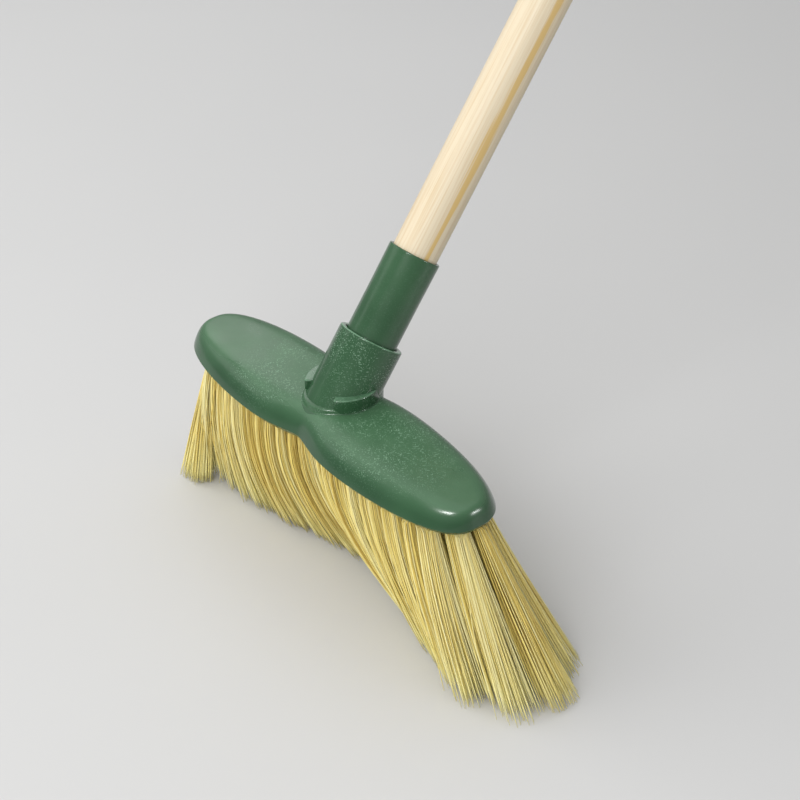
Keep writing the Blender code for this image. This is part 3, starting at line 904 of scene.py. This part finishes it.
@dataclass
class Upright(ABC):
    """A low form that stands upright on the dome beside or round the socket's foot.

    Args:
        socket: the tube that it belongs to.
        top: height of its flat top.
        edge: radius of its upper edge.
        foot: radius of the hollow curve at its foot.
        root_depth: how far it goes on below the dome.
        steps: points on each of the two curves.
    """

    socket: Socket
    top: float
    edge: float
    foot: float
    root_depth: float = 0.0015
    steps: int = 6

    @abstractmethod
    def plan(self, inset: float) -> Array:
        """Outline in plan, array (points, 2), drawn in by an inset."""

    def rows(self, between: tuple = ()) -> list:
        """Rows from under the dome over the foot's curve, the upright side and the rounded upper edge.

        Args:
            between: shares of the side's height at which it has rows of its own.

        Returns:
            List of arrays (points, 3).
        """
        flare = 1 - arc((0, 0), 1.0, 0, 90, self.steps)
        rows = []
        for up, out in flare:
            line = self.plan(-self.foot * out)
            rows.append(raised(line, self.socket.head.height(*line.T) + self.foot * up))
        low = rows[-1][:, 2]
        side = self.top - self.edge
        rows += [raised(self.plan(0.0), low + share * (side - low)) for share in between]
        for rest, inset in flare[::-1]:
            rows.append(raised(self.plan(self.edge * inset), side + self.edge * (1 - rest)))
        return [rows[0] - np.array([0, 0, self.root_depth]), *rows]


@dataclass
class Gusset(Upright):
    """One of the two crescent-shaped ribs beside the socket's foot."""

    side: Side = Side.RIGHT
    top: float = 0.029
    edge: float = 0.0008
    foot: float = 0.0006
    radius: float = 0.0232
    thickness: float = 0.012
    corner: float = 0.0016
    centre_y: float = 0.006
    front: float = -52.0
    back: float = 50.0
    crown: float = 0.0001
    arc_steps: int = 40
    corner_steps: int = 10
    side_rows: tuple = (0.35, 0.7)
    # Painted highlight on the top rows: most on the rounded edge, a little on the flat top.
    rubbed: tuple = (0.2, 0.4, 0.5, 0.4, 0.3, 0.3)

    def plan(self, inset: float) -> Array:
        """Plan drawn in by an inset: outer arc, inner arc inside the socket, blunt front end."""
        corner_at = self.radius - self.corner
        start = self.front + math.degrees(self.corner / corner_at)
        outer = arc((0, 0), self.radius - inset, start, self.back, self.arc_steps)
        inner = arc((0, 0), self.radius - self.thickness, self.back, start, self.arc_steps)
        centre = arc((0, 0), corner_at, start, start, 1)[0]
        end = arc(centre, self.corner - inset, self.front - 90, start, self.corner_steps)[:-1]
        return self.placed(np.concatenate([outer, inner, end]))

    def spine(self) -> Array:
        """Line down the middle of the plan, with a point for each point of the outline."""
        there = arc((0, 0), self.radius - self.thickness / 2, self.front, self.back, self.arc_steps)
        return self.placed(np.concatenate([there, there[::-1], *[there[:1]] * (self.corner_steps - 1)]))

    def placed(self, line: Array) -> Array:
        """Plan points moved to the gusset's centre and turned to its side."""
        return (line + np.array([0.0, self.centre_y])) * np.array([self.side.value, 1.0])

    def shell(self) -> Shell:
        """The rib, with a painted highlight most on its rounded edge and a little on its flat top."""
        under, *rows = self.rows(self.side_rows)
        spine = self.spine()
        grid = np.stack([raised(spine, under[:, 2]), under, *rows, raised(spine, self.top + self.crown)])
        rubbed = np.zeros((len(grid), 1))
        rubbed[-len(self.rubbed):, 0] = self.rubbed
        return grid_shell(grid, flip=self.side is Side.LEFT, rubbed=rubbed)


@dataclass
class Plinth(Upright):
    """The low step round the socket's foot, as wide as the leaning tube is where it meets the dome."""

    top: float = 0.0224
    edge: float = 0.0014
    foot: float = 0.0012
    proud: float = 0.0006
    columns: int = 160
    # Paler green on the step: partly dust, partly painted light on its upward face.
    wear: float = 0.55

    def plan(self, inset: float) -> Array:
        """The tube's level section at the dome's height: an ellipse, drawn in by an inset."""
        tube = self.socket
        crest = tube.head.skirt + tube.head.dome
        middle = tube.foot_y + (crest - tube.foot_z) * math.tan(tube.lean)
        radius, turn = tube.radius + self.proud, around(self.columns)
        return np.stack([(radius - inset) * np.cos(turn),
                         middle + (radius / math.cos(tube.lean) - inset) * np.sin(turn)], -1)

    def shell(self) -> Shell:
        """The step, closed above inside the tube and below inside the dome."""
        rows = self.rows()
        return grid_shell(np.stack([closing(rows[0]), *rows, closing(rows[-1])]), wear=self.wear)


@dataclass
class BroomHead:
    """The whole green moulding."""

    block: HeadBlock = field(default_factory=HeadBlock)

    def patches(self) -> tuple:
        """Centres and radii of the scuffed places: near lobe, far lobe and socket."""
        places = (((0.055, 0.0, 0.020), (0.062, 0.045, 0.03)), ((-0.045, 0.0, 0.020), (0.045, 0.045, 0.03)),
                  ((0.0, 0.022, 0.042), (0.034, 0.034, 0.040)))
        return tuple((tuple(self.block.to_frame(np.array(centre))), radii) for centre, radii in places)

    def build(self, material: Material) -> Object:
        """Make the moulding as one piece, and return it."""
        dome = self.block.shell()
        tube = Socket(self.block)
        shells = [dome, *TuftHoles(self.block).shells(dome.points[:self.block.columns]), tube.shell(),
                  Plinth(tube).shell(), *(Gusset(tube, side=side).shell() for side in Side)]
        for shell in shells:
            shell.points = self.block.to_frame(shell.points)
        return make_piece("broom_head_moulding", shells, Body.HEAD, material, "broom_head", 42)


# The handle


def blunt_end(radius: float, foot: float, inset: float, rise: float, ease: tuple = (0.0002, 0.0006)) -> list:
    """Profile of a blunt lower end: flat face, slanted corner, and a short ease into the side."""
    return [[0, foot], [radius - inset, foot], [radius - ease[0], foot + rise],
            [radius, foot + rise + ease[1]]]


def upright_line(radius: float, start: float, end: float, steps: int) -> Array:
    """Profile of a straight side."""
    return np.stack([np.full(steps, radius), np.linspace(start, end, steps)], -1)


@dataclass
class Handle:
    """Pole and ferrule, turned about the socket's axis, and the brad."""

    socket: Socket
    pole_radius: float = 0.0145
    pole_length: float = 1.2
    pole_foot: float = 0.0166
    pole_crown: float = 0.0062
    ferrule_tip: float = 0.0123
    ferrule_radius: float = 0.0166
    ferrule_top_radius: float = 0.0168
    ferrule_top: float = 0.1018
    ferrule_bore: float = 0.0148
    ferrule_floor: float = 0.004
    flare_start: float = 0.078
    rim_round: float = 0.0007
    lip: float = 0.0003
    sides: int = 112

    def turned(self, profile: Array) -> Shell:
        """Carry a profile of (radius, height) pairs, from the bottom up, round the axis."""
        rows = Socket(self.socket.head, columns=self.sides).ring(profile[:, 1], profile[:, 0])
        return grid_shell(self.socket.head.to_frame(rows))

    def build_pole(self, material: Material) -> Object:
        """Make the pole: a long plain turning with a chamfered foot and a rounded crown.

        Args:
            material: its finish.

        Returns:
            The new object.
        """
        top = self.pole_foot + self.pole_length
        shoulder = top - self.pole_crown
        crown = arc((0, 0), 1.0, 0, 90, 12) * np.array([self.pole_radius, self.pole_crown])
        profile = np.concatenate([
            blunt_end(self.pole_radius, self.pole_foot, 0.002, 0.0018),
            upright_line(self.pole_radius, self.pole_foot + 0.006, shoulder - 0.002, steps=60),
            crown + np.array([0, shoulder]),
        ])
        profile[-1] = (0, top)
        shells = [self.turned(profile)]
        return make_piece("turned_pole", shells, Body.HANDLE, material, "pole")

    def build_ferrule(self, material: Material) -> Object:
        """Make the ferrule: a cup with a softly rounded rim and a slight flare.

        Args:
            material: its finish.

        Returns:
            The new object.
        """
        edge, lip, bore, top = self.rim_round, self.lip, self.ferrule_bore, self.ferrule_top
        floor = self.ferrule_tip + self.ferrule_floor
        profile = np.concatenate([
            blunt_end(self.ferrule_radius, self.ferrule_tip, 0.0015, 0.0012),
            upright_line(self.ferrule_radius, floor, self.flare_start, steps=16),
            arc((self.ferrule_top_radius - edge, top - edge), edge, 0, 90, 8),
            arc((bore + lip, top - lip), lip, 90, 180, 4),
            [[bore, top - 0.002], [bore, floor + 0.001], [bore - 0.001, floor], [0, floor]],
        ])
        shells = [self.turned(profile)]
        return make_piece("ferrule_cup", shells, Body.HANDLE, material, "ferrule", 42)

    def dress_brad(self, material: Material) -> None:
        """Keep the brad's own solid and give it its steel."""
        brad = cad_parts["ferrule_brad"]
        brad.data.materials.clear()
        brad.data.materials.append(material)
        LOG.info("ferrule_brad: kept, steel finish")


# The bristles


@dataclass
class BristleField:
    """Where a strand runs from its root to its tip: the sweep that use has given the whole set."""

    head: HeadBlock
    right_fan_x: float = 0.071
    right_skew_x: float = 0.040
    left_clump_x: float = 0.017
    left_clump_start: float = 0.66
    left_clump_soft: float = 0.05
    sweep_x: float = 0.040
    sweep_middle: float = 0.19
    sweep_spread: float = 0.25
    fan_y: float = 0.016
    right_fan_y: float = 0.025
    left_clump_y: float = 0.044
    push_y: float = 0.038
    push_front: float = 0.12

    def path(self, x: Array, y: Array, share: Array) -> Array:
        """Place of a strand at a share of its drop.

        The strand fans out in a straight line, and those at the left end lean away together as a clump. On
        top of that it bends like a rod held at its root: half the share squared times three less the share.
        The bend goes lengthways round the waist and sideways over the whole head.

        Args:
            x: root places along the head, array (strands, levels).
            y: root places across it.
            share: 0 at the root to 1 at the tip, array (strands, levels).

        Returns:
            Array (strands, levels, 3).
        """
        along = x / (self.head.length / 2)
        across = y / (self.head.width / 2)
        left, right = np.maximum(0, -along), np.maximum(0, along)
        clump = 1 / (1 + np.exp((self.left_clump_start + along) / self.left_clump_soft))
        fan_x = self.right_fan_x * right + self.right_skew_x * right ** 4 * across
        fan_x -= self.left_clump_x * clump
        fan_y = self.fan_y * across + self.right_fan_y * right ** 4 * (across - across ** 2)
        fan_y -= self.left_clump_y * left ** 8
        sweep = self.sweep_x * np.exp(-((along - self.sweep_middle) / self.sweep_spread) ** 2)
        push = self.push_y * (1 - along ** 2) * (1 - self.push_front * across)
        down = np.maximum(share, 0)
        bend = down ** 2 * (3 - down) / 2
        return np.stack([x + fan_x * down + sweep * bend, y + fan_y * down + push * bend,
                         -self.head.underside * share + 0 * x], -1)


@dataclass
class Tuft:
    """One tuft of bristles, folded into its hole: two legs stand out of it and spread to the floor.

    Sizes are in metres. A spread is the standard deviation of what differs from strand to strand.
    """

    bristles: BristleField
    name: str
    x: float
    y: float
    turn: float
    seed: int
    strands: int = 78
    root_radius: float = 0.0031
    root_depth: float = 0.0095
    half_hole: tuple = (0.45, 0.42, 0.80)
    leg_step: float = 0.0046
    leg_step_spread: float = 0.0004
    leg_size: tuple = (0.0032, 0.0033)
    leg_size_range: tuple = (0.90, 1.08)
    parting: float = 0.05
    length_spreads: tuple = (0.014, 0.008)
    short_share: float = 0.10
    short_by: tuple = (0.02, 0.10)
    lean_spread: float = 0.0009
    own_spread: float = 0.0006
    curl_spread: float = 0.00022
    curl_beats: tuple = (0.7, 1.5)
    stray_share: float = 0.04
    stray_factor: float = 4.0
    tip_growth: tuple = (0.0012, 0.0034)
    gather: float = 1.0
    nudge: tuple = (0.0, 0.0)
    tone: float = 0.60
    tone_spreads: tuple = (0.15, 0.20)
    strand_radius: float = 0.00035
    tip_radius: float = 0.00015
    radius_range: tuple = (0.85, 1.15)
    box_margin: float = 0.0008
    floor_gap: float = 0.00002
    sides: int = 3
    levels: tuple = (0, 0.017, 0.033, 0.05, 0.13, 0.26, 0.37, 0.49, 0.61, 0.73, 0.83, 0.92, 1.0)

    def turned(self, along: Array, over: Array) -> tuple:
        """Places along and across the parting, turned to the head's own directions."""
        cosine, sine = math.cos(math.radians(self.turn)), math.sin(math.radians(self.turn))
        return cosine * along - sine * over, sine * along + cosine * over

    def leg(self, sign: float, rng: np.random.Generator) -> tuple:
        """Middles of the strands of one leg.

        The strands stand on a sunflower disc: the radius grows with the square root of the number and the
        angle by the golden angle. In the hole the disc is squeezed into its half of it. Below, over the
        parting, the leg's middle moves a step to its side and the disc takes the leg's size. From there each
        strand follows the sweep of its own place. Towards the floor the leg grows with the power 0.8 of the
        drop, leans with the power 1.4, and its strands part with the power 1.5 and curl with the root.

        Args:
            sign: -1 or 1, the side that the leg leaves to.
            rng: the tuft's random numbers.

        Returns:
            Middles from the head's middle, array (strands, levels, 3), share of the drop, array (strands,
            levels), and each strand's tone, array (strands,).
        """
        count = self.strands
        number = np.arange(count)
        radius = np.sqrt((number + 0.5) / count)
        angle = number * GOLDEN_ANGLE + rng.uniform(0, 2 * math.pi)
        side, deep = (radius * np.cos(angle))[:, None], (radius * np.sin(angle))[:, None]

        levels = np.array([-self.root_depth / self.bristles.head.underside, *self.levels])
        length = 1 - np.abs(rng.normal(0, self.length_spreads[0], count))
        length -= abs(rng.normal(0, self.length_spreads[1]))
        length -= (rng.random(count) < self.short_share) * rng.uniform(*self.short_by, count)
        share = np.where(levels > 0, levels * length[:, None], levels)
        down = np.maximum(share, 0)
        part = np.clip(down / self.parting, 0, 1)
        part = part ** 2 * (3 - 2 * part)

        wide = self.gather * self.leg_size[0] * rng.uniform(*self.leg_size_range)
        step = sign * self.gather * self.leg_step + rng.normal(0, self.leg_step_spread)
        middle, half_width, half_depth = (self.root_radius * part_of for part_of in self.half_hole)
        in_hole = sign * (middle + half_width * side), half_depth * deep
        below = step + wide * side, self.gather * self.leg_size[1] * deep
        x, y = self.turned(*(top * (1 - part) + low * part for top, low in zip(in_hole, below)))
        centre = self.bristles.path(self.x + x, self.y + y, share)

        lean = rng.normal(0, self.lean_spread, 2)
        stray = np.where(rng.random(count) < self.stray_share, self.stray_factor, 1.0)[:, None]
        nudged = stray == 1
        growth = self.turned(self.tip_growth[0] * side, self.tip_growth[1] * deep)
        for axis in (0, 1):
            own = rng.normal(0, self.own_spread, (count, 1)) * stray
            curl = rng.normal(0, self.curl_spread, (count, 1)) * stray
            phase = rng.uniform(0, 2 * math.pi, (count, 1))
            beat = rng.uniform(*self.curl_beats, (count, 1))
            wave = np.sin(2 * math.pi * beat * down + phase) - np.sin(phase)
            pulled = lean[axis] + nudged * self.nudge[axis]
            centre[..., axis] += growth[axis] * down ** 0.8 + pulled * down ** 1.4
            centre[..., axis] += own * down ** 1.5
            centre[..., axis] += curl * wave * down ** 0.5
        tone = rng.normal(self.tone + rng.normal(0, self.tone_spreads[0]), self.tone_spreads[1], count)
        return centre, down, np.clip(tone, 0, 1)

    def shell(self) -> Shell:
        """Both legs as one shell of separate closed strands, in the shared frame."""
        rng = np.random.default_rng(self.seed)
        first, second = self.leg(-1, rng), self.leg(1, rng)
        centre, down, tone = (np.concatenate(pair) for pair in zip(first, second))
        return self.skin(self.keep_inside(centre, down), down, tone, rng)

    def keep_inside(self, centre: Array, down: Array) -> Array:
        """Pull back strands whose tips would leave the CAD model's box, by as much as they pass it.

        Args:
            centre: the strands' middles, array (strands, levels, 3).
            down: share of the drop, array (strands, levels).

        Returns:
            The middles, inside the box.
        """
        origin = self.bristles.head.to_frame(np.zeros(3))
        for axis in (0, 1):
            low = CAD_BOX[0][axis] + self.box_margin - origin[axis]
            high = CAD_BOX[1][axis] - self.box_margin - origin[axis]
            tip = centre[:, -1, axis]
            centre[..., axis] += (np.clip(tip, low, high) - tip)[:, None] * down ** 1.5
        return centre

    def skin(self, centre: Array, down: Array, tone: Array, rng: np.random.Generator) -> Shell:
        """Give every strand its thickness: small rings square to its run, closed at both ends.

        A strand thins over the last fifth of its drop, with the square of the way through it.

        Args:
            centre: the strands' middles, array (strands, levels, 3), from the head's middle.
            down: share of the drop at each level.
            tone: each strand's tone from 0 to 1.
            rng: the tuft's random numbers.

        Returns:
            The shell in the shared frame, with strand_tone and strand_run as values.
        """
        count, rows = down.shape
        tangent = unit(np.gradient(centre, axis=1))
        across = unit(np.cross(tangent, np.array([0.0, 1.0, 0.0])))
        other = np.cross(tangent, across)
        taper = np.clip((down - 0.8) / 0.2, 0, 1) ** 2
        size = self.strand_radius + (self.tip_radius - self.strand_radius) * taper
        size *= rng.uniform(*self.radius_range, (count, 1))
        turn = around(self.sides) + rng.uniform(0, 2 * math.pi, (count, 1, 1))
        ring = np.cos(turn)[..., None] * across[:, :, None] + np.sin(turn)[..., None] * other[:, :, None]
        points = centre[:, :, None] + size[:, :, None, None] * ring
        points[..., 2] = np.maximum(points[..., 2], self.floor_gap - self.bristles.head.underside)

        index = np.arange(count * rows * self.sides).reshape(count, rows, self.sides)
        low, high = index[:, :-1], index[:, 1:]
        quads = np.stack([low, high, np.roll(high, -1, 2), np.roll(low, -1, 2)], -1).reshape(-1, 4)
        caps = np.concatenate([index[:, 0], index[:, -1, ::-1]])
        values = {"strand_tone": tone[:, None, None], "strand_run": down[:, :, None]}
        values = {key: np.broadcast_to(value, index.shape).ravel() for key, value in values.items()}
        points = self.bristles.head.to_frame(points.reshape(-1, 3))
        return Shell(points, quads.tolist() + caps.tolist(), values)

    def build(self, material: Material) -> Object:
        """Make the tuft as one piece, and return it."""
        name = self.name + "_strands"
        return make_piece(name, [self.shell()], Body.HEAD, material, self.name, 180, merge=False)


@dataclass
class BristleSet:
    """All the tufts: those at the left end huddle together, those at the right end spread out."""

    bristles: BristleField
    first_seed: int = 100
    left_gather: float = 0.66
    right_gather: float = 1.3
    near_right_gather: float = 1.2
    near_right_from: float = 0.085
    inner_tone: float = 0.45
    outer_tone: float = 0.64
    growth: tuple = (0.0012, 0.0034)
    fanned_growth: tuple = (0.0040, 0.0020)

    def gather(self, name: str, x: float) -> float:
        """How wide a tuft's legs stand, by the end of the head that it is at."""
        if name.startswith("tuft_left"):
            return self.left_gather
        if name.startswith("tuft_right"):
            return self.right_gather
        return self.near_right_gather if x > self.near_right_from else 1.0

    def tuft(self, number: int, name: str, *place: float) -> Tuft:
        """Set up one tuft.

        Args:
            number: its number in the set.
            name: name of the CAD node.
            place: x, y and the direction in which the legs part.

        Returns:
            The tuft, not yet built.
        """
        nudges = {"tuft_left_end": (0.014, -0.007), "tuft_left_front": (0.0085, -0.010),
                  "tuft_front_01": (0.003, 0.008)}
        fanned = max(0.0, place[0] / (self.bristles.head.length / 2)) ** 2
        return Tuft(
            self.bristles, name, *place, self.first_seed + number,
            gather=self.gather(name, place[0]), nudge=nudges.get(name, (0.0, 0.0)),
            tone=self.inner_tone if "mid" in name else self.outer_tone,
            tip_growth=tuple(own + more * fanned for own, more in zip(self.growth, self.fanned_growth)))

    def build(self, material: Material) -> None:
        """Make every tuft as a piece of its own."""
        for number, place in enumerate(TuftHoles(self.bristles.head).places()):
            self.tuft(number, *place).build(material)


# The stage


@dataclass(frozen=True)
class SoftBox:
    """A rectangular light that faces the head.

    Args:
        name: the light's name.
        turn: direction from the head in plan, in degrees from +X towards +Y.
        rise: degrees above the floor.
        distance: how far away, in metres.
        size: width and height in metres.
        power: in watts.
        glow: what the light is for.
    """

    name: str
    turn: float
    rise: float
    distance: float
    size: tuple
    power: float
    glow: Glow = Glow.WHOLE

    def hang(self, target: Vector) -> None:
        """Put the light into the scene, facing a target."""
        data = bpy.data.lights.new(self.name, 'AREA')
        data.shape = 'RECTANGLE'
        data.size, data.size_y = self.size
        data.energy = self.power
        light = bpy.data.objects.new(self.name, data)
        light.visible_diffuse = self.glow is not Glow.GLINT
        light.visible_glossy = self.glow is not Glow.SOFT
        level, steep = math.radians(self.turn), math.radians(self.rise)
        flat = math.cos(steep)
        away = Vector((flat * math.cos(level), flat * math.sin(level), math.sin(steep)))
        light.location = target + self.distance * away
        light.rotation_euler = away.to_track_quat('Z', 'Y').to_euler()
        bpy.context.scene.collection.objects.link(light)


@dataclass
class Stage:
    """Floor, soft lights and the camera, which stands where the photograph was taken from."""

    head: HeadBlock
    floor_reach: float = 6.0
    sky_strength: float = 0.37
    lit_place: tuple = (0.06, 0.0, 0.01)
    lights: tuple = (
        SoftBox("ceiling", 150, 78, 2.6, (3.0, 3.0), 22),
        SoftBox("left wall", -140, 35, 2.5, (2.4, 1.6), 29, Glow.SOFT),
        SoftBox("front fill", -62, 32, 2.5, (2.0, 2.0), 40, Glow.SOFT),
        SoftBox("left sheen", -150, 35, 2.5, (1.6, 1.6), 6, Glow.GLINT),
        SoftBox("back sheen", 160, 30, 2.4, (1.2, 0.8), 6, Glow.GLINT),
        SoftBox("long glint", -65, 53, 1.6, (0.40, 0.20), 16, Glow.GLINT),
        SoftBox("small glint", 28, 14, 1.6, (0.16, 0.22), 7, Glow.GLINT),
    )
    lens: float = 80.41
    sensor: float = 36.0
    clip: tuple = (0.05, 50.0)
    eye: tuple = (0.721261, -0.541020, 0.639553)
    right: tuple = (0.6322744506, 0.7747299259, 0.0047498375)
    down: tuple = (0.4429064969, -0.3564221177, -0.8226767950)
    aim: tuple = (-0.6356593853, 0.5222612525, -0.5684895162)

    def build_floor(self) -> None:
        """Lay a plain pale floor that reaches past the view on every side."""
        mesh = bpy.data.meshes.new("floor")
        size = self.floor_reach
        corners = [(-size, -size, 0), (size, -size, 0), (size, size, 0), (-size, size, 0)]
        mesh.from_pydata(corners, [], [(0, 1, 2, 3)])
        mesh.materials.append(PaleFloor().make())
        floor = bpy.data.objects.new("floor", mesh)
        bpy.context.scene.collection.objects.link(floor)

    def build_lights(self) -> None:
        """Light the broom softly from above and behind, with two small glints on the near lobe."""
        world = bpy.data.worlds.new("soft room")
        world.use_nodes = True
        sky = world.node_tree.nodes["Background"].inputs
        sky["Color"].default_value = (1.0, 1.0, 1.0, 1.0)
        sky["Strength"].default_value = self.sky_strength
        bpy.context.scene.world = world
        for light in self.lights:
            light.hang(Vector(self.head.to_frame(np.array(self.lit_place))))

    def set_tones(self) -> None:
        """Show colours as they are, without a film curve."""
        bpy.context.scene.view_settings.view_transform = 'Standard'

    def build_camera(self) -> None:
        """Stand the camera where the photograph was taken from."""
        data = bpy.data.cameras.new("camera")
        data.lens = self.lens
        data.sensor_width = self.sensor
        data.clip_start, data.clip_end = self.clip
        camera = bpy.data.objects.new("camera", data)
        turn = Matrix([Vector(self.right), -Vector(self.down), -Vector(self.aim)]).transposed().to_4x4()
        camera.matrix_world = Matrix.Translation(Vector(self.head.to_frame(np.array(self.eye)))) @ turn
        bpy.context.scene.collection.objects.link(camera)
        bpy.context.scene.camera = camera


def main() -> None:
    """Build every sub-assembly in order."""
    logging.basicConfig(level=logging.INFO, format="%(name)s: %(message)s")
    head = BroomHead()
    head.build(GreenPlastic(patches=head.patches()).make())

    socket = Socket(head.block)
    handle = Handle(socket)
    handle.build_pole(TurnedPine(foot=tuple(head.block.to_frame(socket.foot()))).make())
    # The ferrule's paler green is partly dust and partly painted light.
    handle.build_ferrule(GreenPlastic(name="green ferrule plastic", wear=0.22, marks=0.05).make())
    handle.dress_brad(BradSteel().make())

    BristleSet(BristleField(head.block)).build(StrawBristle().make())

    stage = Stage(head.block)
    stage.build_floor()
    stage.build_lights()
    stage.set_tones()
    stage.build_camera()


if __name__ == "__main__":
    main()
